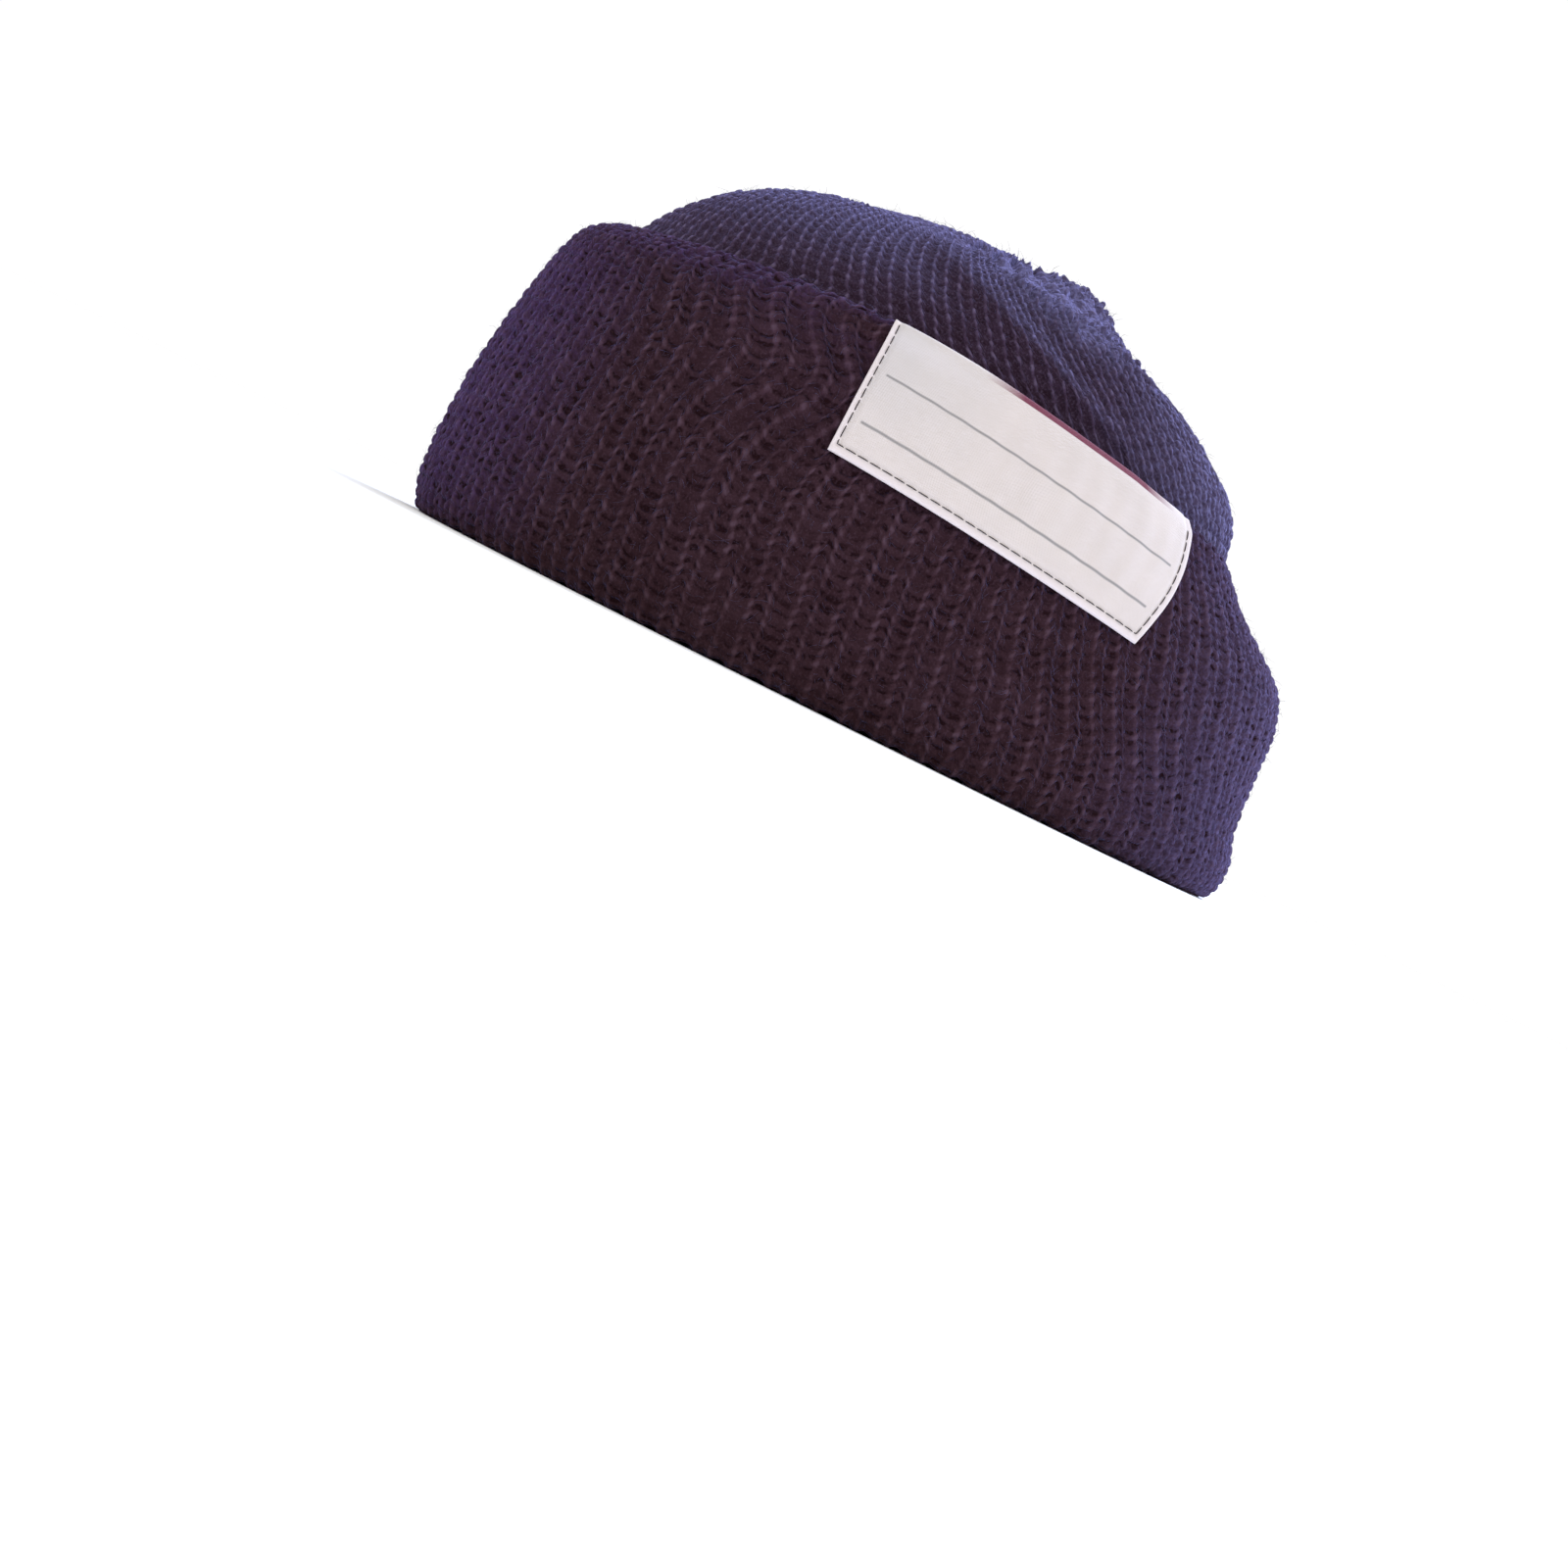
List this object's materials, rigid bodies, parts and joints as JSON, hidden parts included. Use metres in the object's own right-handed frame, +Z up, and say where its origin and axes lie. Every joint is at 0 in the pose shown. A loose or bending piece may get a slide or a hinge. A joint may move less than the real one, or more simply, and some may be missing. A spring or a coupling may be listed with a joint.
{
  "type": "watch cap",
  "caption": "Close-fitting ribbed knit cap with a gathered crown, a deep turned-up cuff and a plain cloth label sewn to the side of the cuff.",
  "frame": {"origin": "middle of the cap's outline, on the surface that the rim rests on", "axes": "+Z up from the rim to the crown, -Y towards the brow, +X towards the wearer's left side, where the label is"},
  "size_m": [0.176, 0.2116, 0.111],
  "materials": {
    "knit": "dark navy wool, ribbed knit, soft sheen",
    "label": "off-white woven cotton tape with dark stitching"
  },
  "bodies": {
    "root": {"crown": "knit", "cuff": "knit", "label": "label"}
  },
  "joints": []
}
